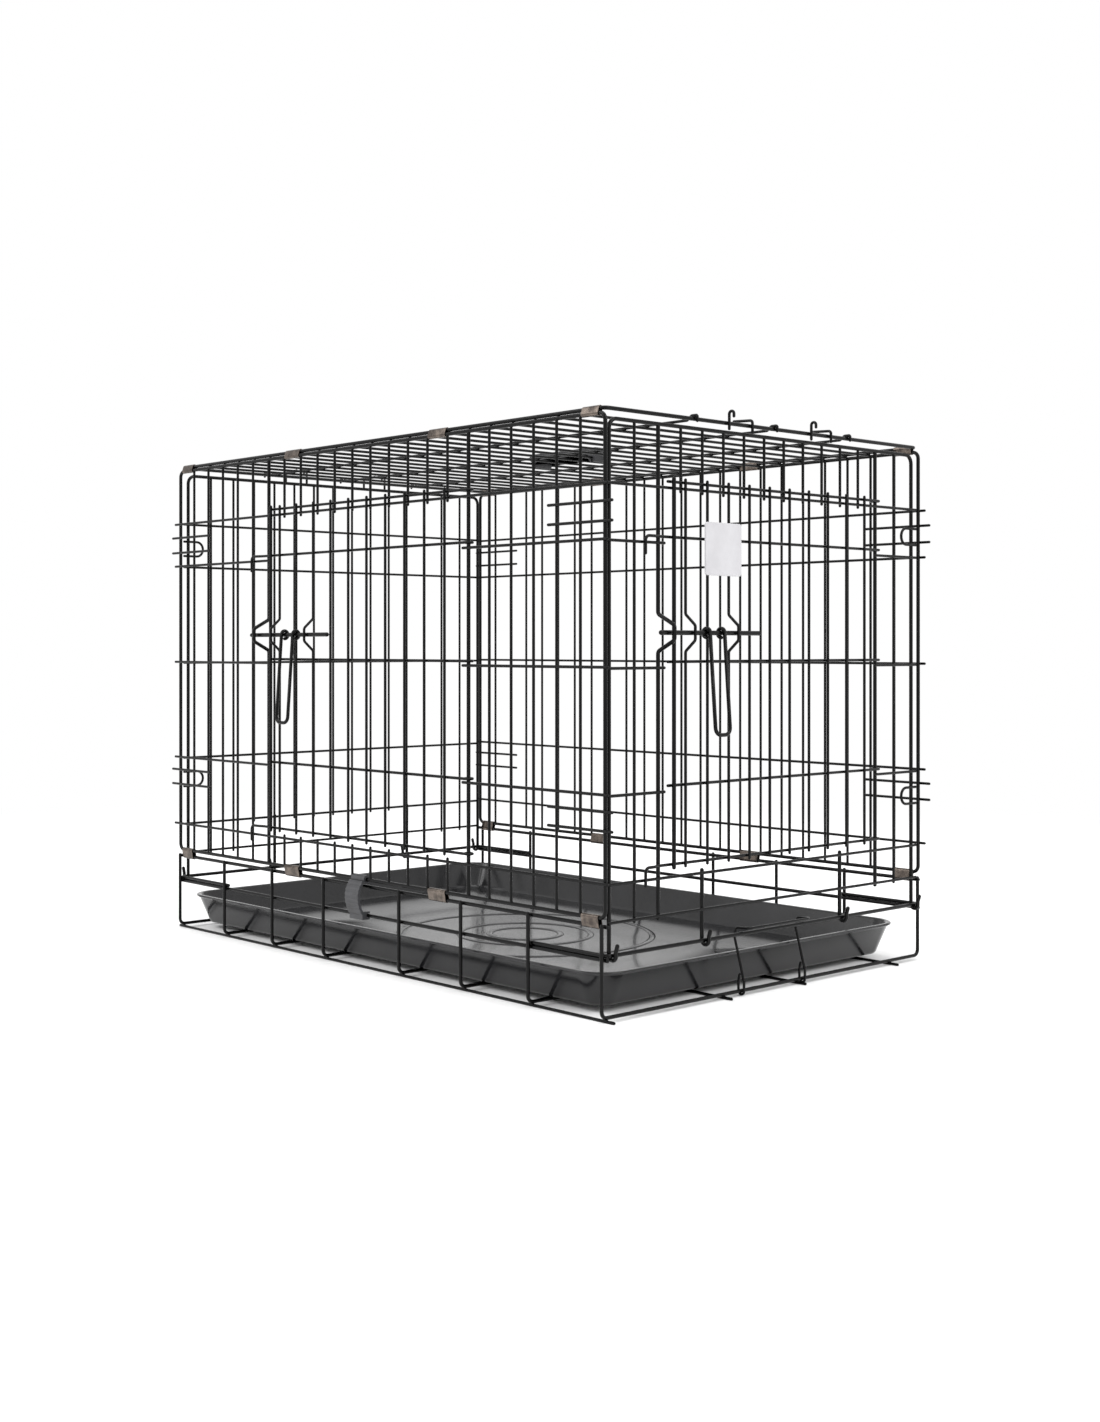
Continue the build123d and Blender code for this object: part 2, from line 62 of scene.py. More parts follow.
def newFinish(name, look):
    material = bpy.data.materials.new(name)
    material.use_nodes = True
    tree = material.node_tree
    tree.nodes.clear()
    place = addNode(tree, "ShaderNodeTexCoord").outputs["Object"]
    coarse = addNode(
        tree,
        "ShaderNodeTexNoise",
        values={"Scale": look["patchScale"], "Detail": 4.0, "Roughness": 0.6},
        links={"Vector": place},
    )
    fine = addNode(
        tree,
        "ShaderNodeTexNoise",
        values={"Scale": look["grainScale"], "Detail": 3.0, "Roughness": 0.55},
        links={"Vector": place},
    )
    colours = addNode(tree, "ShaderNodeValToRGB", links={"Fac": coarse.outputs["Fac"]})
    colours.color_ramp.elements[0].position = 0.35
    colours.color_ramp.elements[0].color = linear(look["dark"])
    colours.color_ramp.elements[1].position = 0.65
    colours.color_ramp.elements[1].color = linear(look["light"])
    sheen = addNode(
        tree,
        "ShaderNodeMapRange",
        values={"To Min": look["rough"][0], "To Max": look["rough"][1]},
        links={"Value": coarse.outputs["Fac"]},
    )
    relief = addNode(
        tree,
        "ShaderNodeBump",
        values={"Strength": look["bump"], "Distance": look["grainDepth"]},
        links={"Height": fine.outputs["Fac"]},
    )
    surface = addNode(
        tree,
        "ShaderNodeBsdfPrincipled",
        values={
            "Metallic": look.get("metallic", 0.0),
            "IOR": look.get("ior", 1.5),
        },
        links={
            "Base Color": colours.outputs["Color"],
            "Roughness": sheen.outputs["Result"],
            "Normal": relief.outputs["Normal"],
        },
    )
    addNode(tree, "ShaderNodeOutputMaterial", links={"Surface": surface.outputs["BSDF"]})
    return material


# Epoxy powder coat baked on steel wire: near black, glossy, with the faint orange peel of melted powder
wireLook = {
    "dark": "#030303",
    "light": "#080808",
    "patchScale": 60.0,  # patches about 17 mm across
    "grainScale": 900.0,  # orange peel about 1 mm across
    "grainDepth": 0.00005,
    "bump": 0.25,
    "rough": (0.14, 0.24),
    "ior": 1.27,
}
powderCoat = newFinish("powderCoatedWire", wireLook)

# Zinc plated strip steel, pressed into clips: a warm grey metal with rolling marks
clipLook = {
    "dark": "#4b4541",
    "light": "#7a7068",
    "patchScale": 140.0,
    "grainScale": 1300.0,
    "grainDepth": 0.00015,
    "bump": 0.4,
    "rough": (0.16, 0.34),
    "metallic": 1.0,
}
platedSteel = newFinish("zincPlatedStripSteel", clipLook)

# Polypropylene, vacuum formed: charcoal, a soft gloss with a fine moulded grain
trayLook = {
    "dark": "#141415",
    "light": "#1d1d1f",
    "patchScale": 14.0,
    "grainScale": 700.0,  # grain about 1.5 mm, coarser than the real one so that it shows
    "grainDepth": 0.00004,
    "bump": 0.2,
    "rough": (0.1, 0.2),
}
formedPlastic = newFinish("formedPolypropylene", trayLook)

# Nylon, injection moulded: dark grey and matt with a spark-eroded texture
handleLook = {
    "dark": "#1f1f21",
    "light": "#2d2d30",
    "patchScale": 90.0,
    "grainScale": 1500.0,
    "grainDepth": 0.00018,
    "bump": 0.45,
    "rough": (0.48, 0.62),
}
handleNylon = newFinish("mouldedNylon", handleLook)

# Acetal, injection moulded: mid grey, slightly waxy
leverLook = {
    "dark": "#303032",
    "light": "#3d3d40",
    "patchScale": 90.0,
    "grainScale": 1200.0,
    "grainDepth": 0.00015,
    "bump": 0.35,
    "rough": (0.38, 0.5),
}
leverAcetal = newFinish("mouldedAcetal", leverLook)

# ABS sheet, white, with a light gloss: left bare
plateLook = {
    "dark": "#bfbec1",
    "light": "#c8c7ca",
    "patchScale": 50.0,
    "grainScale": 900.0,
    "grainDepth": 0.0001,
    "bump": 0.15,
    "rough": (0.3, 0.38),
}
plateAbs = newFinish("whiteAbsSheet", plateLook)
print("finishes made")


# The wire tree: polylines with a bend radius at each corner become round wire with domed tips and weld beads
def buildWireTree():
    tree = bpy.data.node_groups.new("bentWire", "GeometryNodeTree")
    face = tree.interface
    face.new_socket("Geometry", in_out="INPUT", socket_type="NodeSocketGeometry")
    sockets = (("Bend steps", 6, "NodeSocketInt"), ("Sides", 14, "NodeSocketInt"))
    for name, value, kind in sockets:
        face.new_socket(name, in_out="INPUT", socket_type=kind).default_value = value
    face.new_socket("Finish", in_out="INPUT", socket_type="NodeSocketMaterial")
    face.new_socket("Geometry", in_out="OUTPUT", socket_type="NodeSocketGeometry")
    given = addNode(tree, "NodeGroupInput").outputs

    def held(name):
        return addNode(
            tree, "GeometryNodeInputNamedAttribute", {"data_type": "FLOAT"}, {"Name": name}
        ).outputs["Attribute"]

    line = addNode(tree, "GeometryNodeMeshToCurve", links={"Mesh": given["Geometry"]})
    rounded = addNode(
        tree,
        "GeometryNodeFilletCurve",
        {"mode": "POLY"},
        {"Limit Radius": True},
        {"Curve": line.outputs["Curve"], "Radius": held("bend"), "Count": given["Bend steps"]},
    )
    thickness = held("thick")
    circle = addNode(
        tree, "GeometryNodeCurvePrimitiveCircle", values={"Radius": 1.0}, links={"Resolution": given["Sides"]}
    )
    tube = addNode(
        tree,
        "GeometryNodeCurveToMesh",
        values={"Fill Caps": True},
        links={
            "Curve": rounded.outputs["Curve"],
            "Profile Curve": circle.outputs["Curve"],
            "Scale": thickness,
        },
    )
    ball = addNode(tree, "GeometryNodeMeshIcoSphere", values={"Radius": 1.0, "Subdivisions": 2})
    ends = addNode(tree, "GeometryNodeCurveEndpointSelection")
    tips = addNode(
        tree,
        "GeometryNodeInstanceOnPoints",
        links={
            "Points": rounded.outputs["Curve"],
            "Selection": ends.outputs["Selection"],
            "Instance": ball.outputs["Mesh"],
            "Scale": thickness,
        },
    )
    welds = addNode(
        tree,
        "GeometryNodeMeshToPoints",
        links={"Mesh": given["Geometry"], "Selection": held("weld")},
    )
    beads = addNode(
        tree,
        "GeometryNodeInstanceOnPoints",
        links={"Points": welds.outputs["Points"], "Instance": ball.outputs["Mesh"], "Scale": held("weld")},
    )
    joined = addNode(tree, "GeometryNodeJoinGeometry")
    for piece in (beads.outputs["Instances"], tips.outputs["Instances"], tube.outputs["Mesh"]):
        tree.links.new(piece, joined.inputs["Geometry"])
    real = addNode(tree, "GeometryNodeRealizeInstances", links={"Geometry": joined.outputs["Geometry"]})
    smooth = addNode(tree, "GeometryNodeSetShadeSmooth", links={"Geometry": real.outputs["Geometry"]})
    painted = addNode(
        tree,
        "GeometryNodeSetMaterial",
        links={"Geometry": smooth.outputs["Geometry"], "Material": given["Finish"]},
    )
    addNode(tree, "NodeGroupOutput", links={"Geometry": painted.outputs["Geometry"]})
    return tree


wireTree = buildWireTree()
wireSettings = {"Bend steps": 6, "Sides": 14}
weldSettings = {"bead": 0.95, "reach": 0.12, "search": 0.3}  # bead against wire radius, then gaps in mm


def closest(a0, a1, b0, b1):
    u, v, w = a1 - a0, b1 - b0, a0 - b0
    a, b, c, d, e = u @ u, u @ v, v @ v, u @ w, v @ w
    flat = a * c - b * b
    if flat < 1e-9:
        return None
    s = min(max((b * e - c * d) / flat, 0), 1)
    t = min(max((a * e - b * d) / flat, 0), 1)
    return a0 + s * u, b0 + t * v


def weldPoints(wires):
    runs = []
    for k, (points, bends, radius, loop) in enumerate(wires):
        ends = [np.array(p, float) for p in points]
        pairs = list(zip(ends, ends[1:] + ends[:1])) if loop else list(zip(ends, ends[1:]))
        runs += [(k, p, q, radius) for p, q in pairs]
    lows = np.array([np.minimum(p, q) - r - weldSettings["search"] for k, p, q, r in runs])
    highs = np.array([np.maximum(p, q) + r + weldSettings["search"] for k, p, q, r in runs])
    found = []
    for i, (k, p, q, r) in enumerate(runs):
        near = np.all((lows[i] <= highs[i + 1 :]) & (highs[i] >= lows[i + 1 :]), axis=1)
        for j in np.nonzero(near)[0] + i + 1:
            other, p2, q2, r2 = runs[j]
            if other == k:
                continue
            pair = closest(p, q, p2, q2)
            if pair is None:
                continue
            x, y = pair
            gap = np.linalg.norm(x - y) - r - r2
            if abs(gap) < weldSettings["reach"]:
                found.append((x + (y - x) * r / (r + r2), min(r, r2) * weldSettings["bead"]))
    return found


def makeWires(name, body, nodes, wires, welded=True, finish=powderCoat):
    mesh = bpy.data.meshes.new(name + "Lines")
    places, edges, bend, thick, weld = [], [], [], [], []
    for points, bends, radius, loop in wires:
        first = len(places)
        count = len(points)
        if not isinstance(bends, (list, tuple)):
            bends = [bends] * count if loop else [0] + [bends] * (count - 2) + [0]
        elif not loop:
            bends = [0, *bends, 0]
        places += points
        bend += [b * mm for b in bends]
        thick += [radius * mm] * count
        weld += [0.0] * count
        edges += [(first + i, first + i + 1) for i in range(count - 1)]
        if loop:
            edges.append((first + count - 1, first))
    for place, size in weldPoints(wires) if welded else []:
        places.append(tuple(place))
        bend.append(0.0)
        thick.append(0.0)
        weld.append(size * mm)
    mesh.from_pydata([tuple(c * mm for c in p) for p in places], edges, [])
    for label, values in (("bend", bend), ("thick", thick), ("weld", weld)):
        mesh.attributes.new(label, "FLOAT", "POINT").data.foreach_set("value", values)
    lines = bpy.data.objects.new(name + "Lines", mesh)
    bpy.context.collection.objects.link(lines)
    modifier = lines.modifiers.new("bentWire", "NODES")
    modifier.node_group = wireTree
    values = dict(wireSettings, Finish=finish)
    for item in wireTree.interface.items_tree:
        if item.item_type == "SOCKET" and item.in_out == "INPUT" and item.name in values:
            modifier[item.identifier] = values[item.name]
    return plainPiece(lines, name, body, nodes)


def plainPiece(source, name, body, nodes):
    graph = bpy.context.evaluated_depsgraph_get()
    mesh = bpy.data.meshes.new_from_object(source.evaluated_get(graph), depsgraph=graph)
    bpy.data.objects.remove(source)
    for label in ("bend", "thick", "weld"):
        if label in mesh.attributes:
            mesh.attributes.remove(mesh.attributes[label])
    mesh.name = name
    piece = bpy.data.objects.new(name, mesh)
    bpy.context.collection.objects.link(piece)
    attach(piece, body)
    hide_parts(*nodes)
    print(name, len(mesh.polygons), "faces")
    return piece


# Sizes shared by the wire pieces, in millimetres
wireRadius = {"mesh": 1.25, "rod": 1.7, "base": 1.6, "bolt": 2.0, "pull": 1.6, "bail": 1.1}
layout = {
    "sidePlane": 209.5,
    "endPlane": 302.0,
    "postX": 305.0,
    "pitch": 610 / 23,
    "sideBottom": 81.5,
    "sideTop": 473.4,
    "endPost": 202.4,
    "endTop": 469.6,
    "endRodZ": 52.42,
    "eye": 3.75,
    "column": 0.45,
    "row": 2.97,
    "bar": 3.35,
    "door": 5.87,
    "latch": 6.32,
    "weldGap": 0.02,
    "bendTrim": 0.01,  # keeps two bends on one short run from meeting
    "frameBend": 6.0,
    "postBend": 3.5,
    "past": 2.2,  # how far an upright runs past the row it ends on
    "rowPast": 5.0,  # how far a side row runs past the corner post
    "stub": 4.0,  # how far a cut row runs past the opening post
    "kinkReach": 15.0,
    "kinkFlat": 6.0,
}
pitch = layout["pitch"]
meshR, rodR = wireRadius["mesh"], wireRadius["rod"]
seats = {
    "near": lambda u, out, z: (u, -layout["sidePlane"] - out, z),
    "far": lambda u, out, z: (-u, layout["sidePlane"] + out, z),
    "front": lambda u, out, z: (layout["endPlane"] + out, u, z),
    "rear": lambda u, out, z: (-layout["endPlane"] - out, -u, z),
}


def seated(seat, wires):
    return [([seats[seat](*p) for p in points], bends, radius, loop) for points, bends, radius, loop in wires]


def upright(u, low, high, radius=meshR, out=layout["column"]):
    return ([(u, out, low), (u, out, high)], 0, radius, False)


def crossRow(first, last, z, out=layout["row"]):
    return ([(first, out, z), (last, out, z)], 0, meshR, False)


def kinkedUpright(u, out, bulge, low, high, radius, bend):
    z, reach, flat = doorSizes["boltZ"], layout["kinkReach"], layout["kinkFlat"]
    kink = [(out, z - reach), (bulge, z - flat), (bulge, z + flat), (out, z + reach)]
    points = [(u, o, h) for o, h in [(out, low)] + kink + [(out, high)]]
    return (points, bend, radius, False)


doorSizes = {
    "post": 5.5 * pitch,
    "pitch": 26.8,
    "first": -119.6,
    "latchU": -134.0,
    "bars": (424.0, 379.6, 279.8, 180.7, 117.5),
    "hooked": (379.6, 117.5),
    "hookU": -166.8,
    "hookDrop": 14.0,
    "hookOut": 5.87,
    "eye": 3.35,
    "boltZ": 303.0,
    "boltOut": 12.75,
    "boltTip": 12.5,
    "boltLength": 125.0,
    "keeperOut": 17.45,
    "guideOut": 16.2,
    "pullLength": 83.0,
    "pullHalf": 9.0,
    "pullLean": math.radians(4.2),
    "pullGap": 0.1,
    "pullBend": 6.0,
    "past": 2.25,
    "barPast": 4.0,
    "guideBend": 3.0,
    "hookBends": [4, 3, 3],
    "hookSteps": (11.0, 3.0),  # where the hook leaves the door's level, past the opening post
    "ringEnd": 0.25,  # where a ring stops, against its radius
}
post = doorSizes["post"]


# Side panels
sideRows = {"a": 418.5, "b": 375.0, "c": 276.0, "d": 177.5, "e": 108.7}
guideWires = {"heights": (404.5, 389.0, 164.5, 149.5), "runs": ((-315.0, -245.0), (245.0, 315.0))}


def sidePanel(door):
    x, low, high = layout["postX"], layout["sideBottom"], layout["sideTop"]
    wires = [([(-x, 0, low), (x, 0, low), (x, 0, high), (-x, 0, high)], layout["frameBend"], rodR, True)]
    bottom, top, past = low + rodR, high - rodR, layout["past"]
    for i in range(1, 23):
        u = -x + i * pitch
        if door and i == 6:
            wires.append(kinkedUpright(u, 0, doorSizes["keeperOut"], bottom, top, rodR, layout["postBend"]))
        elif door and i == 17:
            wires.append(upright(u, bottom, top, rodR, 0))
        elif door and 6 < i < 17:
            wires += [upright(u, bottom, sideRows["e"] + past), upright(u, sideRows["a"] - past, top)]
        else:
            wires.append(upright(u, bottom, top))
    reach, stub = x + layout["rowPast"], post - layout["stub"]
    for name, z in sideRows.items():
        if door and name in "bcd":
            wires += [crossRow(-reach, -stub, z), crossRow(stub, reach, z)]
        else:
            wires.append(crossRow(-reach, reach, z))
    wires += [crossRow(first, last, z) for z in guideWires["heights"] for first, last in guideWires["runs"]]
    return wires


nearNodes = ["frame", "uprights", "rows", "guide_wires", "hinge_post", "keeper_post"]
makeWires("nearSidePanel", "cage", ["near_side_" + n for n in nearNodes], seated("near", sidePanel(True)))
farNodes = ["frame", "uprights", "rows", "guide_wires"]
makeWires("farSidePanel", "cage", ["far_side_" + n for n in farNodes], seated("far", sidePanel(False)))

# End panels
endRows = {"a": 419.0, "b": 374.6, "c": 275.0, "d": 176.0, "e": 107.3, "f": 77.6}
endSizes = {
    "reach": 205.3,
    "corner": 8.0,
    "legU": 3.5 * pitch,
    "loopReach": 190.0,
    "legPast": 1.9,  # how far a leg runs past its row
    "lowPast": 1.0,  # how far the uprights run past the lowest row's wire
    "tailBend": 3.0,
    "tailRise": 3.0,
    "tailTop": 8.0,
    "tailLean": 1.6,
}
cornerLoops = ((401.2, 386.2), (161.4, 146.4))


def endPanel(door):
    x, top, eye, rodZ = layout["endPost"], layout["endTop"], layout["eye"], layout["endRodZ"]
    tail = [(0, rodZ - eye), (2 * eye, rodZ - eye), (2 * eye, rodZ + endSizes["tailRise"])]
    tail.append((2 * eye + endSizes["tailLean"], rodZ + endSizes["tailTop"]))
    left = [(-x, out, z) for out, z in reversed(tail)]
    right = [(x, out, z) for out, z in tail]
    turn, hook = eye - layout["bendTrim"], endSizes["tailBend"]
    corners = [(-x, 0, top), (x, 0, top)]
    bends = [hook, turn, turn, endSizes["corner"], endSizes["corner"], turn, turn, hook]
    wires = [(left + corners + right, bends, rodR, False)]
    for u in (-endSizes["legU"], endSizes["legU"]):
        points = [(u, 0, endRows["e"] + endSizes["legPast"])] + [(u, out, z) for out, z in tail]
        wires.append((points, [turn, turn, hook], rodR, False))
    high, low = top - rodR, endRows["f"] - meshR - endSizes["lowPast"]
    outer = (post + x) / 2
    wires += [upright(u, low, high) for u in (-outer, outer)]
    if door:
        wires.append(kinkedUpright(-post, 0, doorSizes["keeperOut"], low, high, rodR, layout["postBend"]))
        wires.append(upright(post, low, high, rodR, 0))
    else:
        wires += [upright(u, low, high) for u in (-post, post)]
    for i in range(10):
        u = (i - 4.5) * pitch
        onLeg = abs(abs(u) - endSizes["legU"]) < 1
        start = endRows["a"] - layout["past"] if door else endRows["e"] + (2 if onLeg else -layout["past"])
        wires.append(upright(u, start, high))
    stub, reach = post - layout["stub"], endSizes["reach"]
    for name, z in endRows.items():
        if door and name in "bcd":
            wires += [crossRow(-reach, -stub, z), crossRow(stub, reach, z)]
        else:
            wires.append(crossRow(-reach, reach, z))
    for high, low in cornerLoops:
        half = (high - low) / 2
        inner = endSizes["loopReach"] - half
        points = [(reach, high), (inner, high), (inner, low), (reach, low)]
        wires.append(([(u, layout["row"], z) for u, z in points], half - layout["bendTrim"], meshR, False))
    return wires


endNodes = ["frame", "uprights", "rows", "hinge_legs", "corner_loops"]
for side, door in (("front", True), ("rear", False)):
    nodes = [f"{side}_end_{n}" for n in endNodes + (["hinge_post", "keeper_post"] if door else [])]
    makeWires(side + "EndPanel", side + "_end_panel", nodes, seated(side, endPanel(door)))


# Doors, bolts and pulls
def doorWires():
    low, high = doorSizes["bars"][-1] - doorSizes["past"], doorSizes["bars"][0] + doorSizes["past"]
    eye, out = doorSizes["eye"], layout["bar"]
    wires = [upright(doorSizes["latchU"], low, high, rodR, layout["latch"])]
    for i in range(10):
        u = doorSizes["first"] + i * doorSizes["pitch"]
        if i in (0, 2):
            bulge, bend = doorSizes["guideOut"], doorSizes["guideBend"]
            wires.append(kinkedUpright(u, layout["door"], bulge, low, high, meshR, bend))
        else:
            wires.append(upright(u, low, high, meshR, layout["door"]))
    for z in doorSizes["bars"]:
        ring = [(post + eye, out), (post + eye, -eye), (post - eye, -eye)]
        ring.append((post - eye, eye * doorSizes["ringEnd"]))
        ring = [(u, o, z) for u, o in ring]
        turn = [eye - layout["bendTrim"]] * 3
        if z in doorSizes["hooked"]:
            clear, u = doorSizes["hookOut"], doorSizes["hookU"]
            far, near = doorSizes["hookSteps"]
            start = [(u, clear, z - doorSizes["hookDrop"]), (u, clear, z)]
            start += [(-post - far, clear, z), (-post - near, out, z)]
            wires.append((start + ring, doorSizes["hookBends"] + turn, meshR, False))
        else:
            wires.append(([(doorSizes["latchU"] - doorSizes["barPast"], out, z)] + ring, turn, meshR, False))
    return wires


def pullWire():
    r = wireRadius["pull"]
    gap = doorSizes["pullGap"]
    eye = wireRadius["bolt"] + gap + r
    out, z, lean = doorSizes["boltOut"], doorSizes["boltZ"], doorSizes["pullLean"]
    middle, half = doorSizes["first"] + doorSizes["pitch"], doorSizes["pullHalf"]
    startOut, startZ = out + eye * math.cos(lean), z + eye * math.sin(lean)
    endOut = startOut + doorSizes["pullLength"] * math.sin(lean)
    endZ = startZ - doorSizes["pullLength"] * math.cos(lean)
    eyePath = [(out + gap, z - eye), (out - eye, z - eye), (out - eye, z + eye), (out + eye, z + eye)]
    side = eyePath + [(startOut, startZ), (endOut, endZ)]
    points = [(middle - half, o, h) for o, h in side] + [(middle + half, o, h) for o, h in reversed(side)]
    bends = [eye - layout["bendTrim"], eye - layout["bendTrim"], eye - 0.3, 0.3, doorSizes["pullBend"]]
    return [(points, bends + bends[::-1], r, False)]


def boltWire():
    tip = -post - doorSizes["boltTip"]
    out, z, r = doorSizes["boltOut"], doorSizes["boltZ"], wireRadius["bolt"]
    length = doorSizes["boltLength"]
    return [([(tip + r, out, z), (tip + length - r, out, z)], 0, r, False)]


doorNodes = ["uprights", "bolt_guides", "latch_rod", "bars", "hinge_eyes", "hooks"]
for name, seat in (("side", "near"), ("end", "front")):
    nodes = [f"{name}_door_{n}" for n in doorNodes]
    makeWires(name + "Door", name + "_door", nodes, seated(seat, doorWires()))
    makeWires(name + "Bolt", name + "_bolt", [name + "_bolt"], seated(seat, boltWire()), False)
    makeWires(name + "BoltPull", name + "_pull", [name + "_bolt_pull"], seated(seat, pullWire()), False)

# Top
topSizes = {
    "z": 477.2,
    "side": 208.2,
    "end": 303.0,
    "corner": 5.0,
    "crossZ": 474.25,
    "crossReach": 207.5,
    "wrapStart": 8.0,
    "wrapRise": 3.0,
    "wrapDrop": 1.7,
    "wrapBends": [1.5, 2, 2, 2, 2, 1.5],
}
longWires = (-103.0, 0.0, 103.0)
catchPairs = ((-63.0, -33.0), (47.0, 75.0))
catchSizes = {"below": 5.0, "curlTop": 9.5, "curlOut": 5.0, "curlEnd": 5.0, "curlBend": 2.4}
fingerSizes = {"rise": 4.5, "reach": 20.0, "end": 5.5, "bend": 2.5}


def topPanel():
    x, y, z = topSizes["end"], topSizes["side"], topSizes["z"]
    wires = [([(-x, -y, z), (x, -y, z), (x, y, z), (-x, y, z)], topSizes["corner"], rodR, True)]
    reach, crossZ = topSizes["crossReach"], topSizes["crossZ"]
    for i in range(1, 23):
        u = -layout["postX"] + i * pitch
        wires.append(([(u, -reach, crossZ), (u, reach, crossZ)], 0, meshR, False))
    over = rodR + meshR + layout["weldGap"]
    longZ, overZ, outer = crossZ + 2 * meshR + layout["weldGap"], z + over, x + over
    half = [(x - topSizes["wrapStart"], longZ), (x - topSizes["wrapRise"], overZ)]
    half += [(outer, overZ), (outer, z - topSizes["wrapDrop"])]
    for across in longWires:
        points = [(-u, across, h) for u, h in reversed(half)] + [(u, across, h) for u, h in half]
        wires.append((points, topSizes["wrapBends"], meshR, False))
    return wires


def catches():
    out = topSizes["end"] - layout["endPlane"] + rodR + meshR + layout["weldGap"]
    z, c, f = topSizes["z"], catchSizes, fingerSizes
    wires = []
    for curled, finger in catchPairs:
        curl = [(out, z - c["below"]), (out, z + c["curlTop"])]
        curl += [(out + c["curlOut"], z + c["curlTop"]), (out + c["curlOut"], z + c["curlEnd"])]
        wires.append(([(curled, o, h) for o, h in curl], c["curlBend"], meshR, False))
        reach = [(out, z - c["below"]), (out, z + f["rise"]), (out - f["reach"], z + f["end"])]
        wires.append(([(finger, o, h) for o, h in reach], f["bend"], meshR, False))
    return wires


makeWires("topPanel", "cage", ["top_frame", "top_cross_wires", "top_long_wires"], topPanel())
for side in ("front", "rear"):
    makeWires(side + "TopCatches", "cage", [side + "_top_catches"], seated(side, catches()), False)

# Base
baseSizes = {
    "side": 208.2,
    "sideZ": 75.0,
    "midZ": 49.0,
    "rodEnd": 306.0,
    "endRodX": 305.75,
    "endLeg": 218.0,
    "crossSide": 211.52,
    "crossZ": 4.12,
    "crossTop": 76.0,
    "crossBend": 5.5,
    "floorEnd": 311.0,
    "endBend": 4.0,
}
crossX = (-303.0, -220.5, -138.0, -55.5, 55.5, 138.0, 220.5, 303.0)
floorY = (-206.0, -66.0, 32.0, 168.0)


def baseWires():
    b = baseSizes
    y, low, high = b["crossSide"], b["crossZ"], b["crossTop"]
    wires = []
    for x in crossX:
        points = [(x, -y, high), (x, -y, low), (x, y, low), (x, y, high)]
        wires.append((points, b["crossBend"], wireRadius["base"], False))
    wires += [([(-b["floorEnd"], y, meshR), (b["floorEnd"], y, meshR)], 0, meshR, False) for y in floorY]
    for z in (b["sideZ"], b["midZ"]):
        for y in (-b["side"], b["side"]):
            wires.append(([(-b["rodEnd"], y, z), (b["rodEnd"], y, z)], 0, rodR, False))
    for sign in (-1, 1):
        inner, outer, side, z = sign * b["endLeg"], sign * b["endRodX"], b["side"], layout["endRodZ"]
        points = [(inner, -side, z), (outer, -side, z), (outer, side, z), (inner, side, z)]
        wires.append((points, b["endBend"], rodR, False))
    return wires


baseNodes = ["cross_wires", "floor_wires", "side_rods", "mid_rods", "front_rod", "rear_rod"]
makeWires("baseFrame", "cage", ["base_" + n for n in baseNodes], baseWires())

# Tray retainer
retainer = {
    "x": 303.0,
    "half": 2.95,
    "ends": (-44.0, 38.0),
    "eyeTop": 12.0,
    "tip": (1.4, 17.5),
    "bar": ((295.5, 49.5), (298.0, 56.6), (311.5, 57.2)),
    "bends": (2.0, 4.0, 2.5, 3.5),
}


def retainerWire():
    x, half, low = retainer["x"], retainer["half"], baseSizes["crossZ"] - retainer["half"]
    tipX, tipZ = retainer["tip"]
    top = retainer["eyeTop"]
    side = [(x - half + tipX, tipZ), (x - half, top), (x - half, low), (x + half, low), (x + half, top)]
    side += retainer["bar"]
    first, last = retainer["ends"]
    points = [(a, first, z) for a, z in side] + [(a, last, z) for a, z in reversed(side)]
    eyeBend, *barBends = retainer["bends"]
    turn = half - layout["bendTrim"]
    bends = [eyeBend, turn, turn, eyeBend, *barBends]
    return [(points, bends + bends[::-1], wireRadius["bail"], False)]


makeWires("trayRetainer", "tray_retainer", ["tray_retainer"], retainerWire(), False)
print("wire pieces made")


# Solid pieces
def solidPiece(name, build, body, nodes, finish, bevel=None):
    shape = bmesh.new()
    build(shape)
    bmesh.ops.remove_doubles(shape, verts=shape.verts, dist=1e-7)
    bmesh.ops.recalc_face_normals(shape, faces=shape.faces)
    mesh = bpy.data.meshes.new(name)
    shape.to_mesh(mesh)
    shape.free()
    mesh.materials.append(finish)
    for polygon in mesh.polygons:
        polygon.use_smooth = True
    piece = bpy.data.objects.new(name, mesh)
    bpy.context.collection.objects.link(piece)
    if bevel:
        edge = piece.modifiers.new("edge", "BEVEL")
        edge.width = bevel * mm
        edge.segments = 3
        edge.limit_method = "ANGLE"
        edge.angle_limit = math.radians(40)
        edge.harden_normals = True
    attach(piece, body)
    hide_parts(*nodes)
    print(name, len(mesh.polygons), "faces")
    return piece


def extrudeProfile(shape, loops, toPlace, start, end):
    bottom = [[shape.verts.new(toPlace(p, start)) for p in loop] for loop in loops]
    top = [[shape.verts.new(toPlace(p, end)) for p in loop] for loop in loops]
    for low, high in zip(bottom, top):
        for i in range(len(low)):
            k = (i + 1) % len(low)
            shape.faces.new((low[i], low[k], high[k], high[i]))
    if len(loops) == 1:
        shape.faces.new(bottom[0])
        shape.faces.new(top[0])
        return
    for outer, inner in ((bottom[0], bottom[1]), (top[0], top[1])):
        for i in range(len(outer)):
            k = (i + 1) % len(outer)
            shape.faces.new((outer[i], outer[k], inner[k], inner[i]))


# Hinge clips: strip steel folded round two rods
clips = {
    "thick": 0.65,
    "gap": 0.05,
    "outerX": 289.6,
    "innerX": 4 * pitch,
    "narrow": 18.4,
    "wide": 22.5,
    "steps": 14,
}


def clipLoop(low, high, radius):
    along = math.atan2(high[1] - low[1], high[0] - low[0])
    loop = []
    for centre, start in ((high, along - math.pi / 2), (low, along + math.pi / 2)):
        for i in range(clips["steps"] + 1):
            a = start + math.pi * i / clips["steps"]
            loop.append((centre[0] + radius * math.cos(a), centre[1] + radius * math.sin(a)))
    return loop


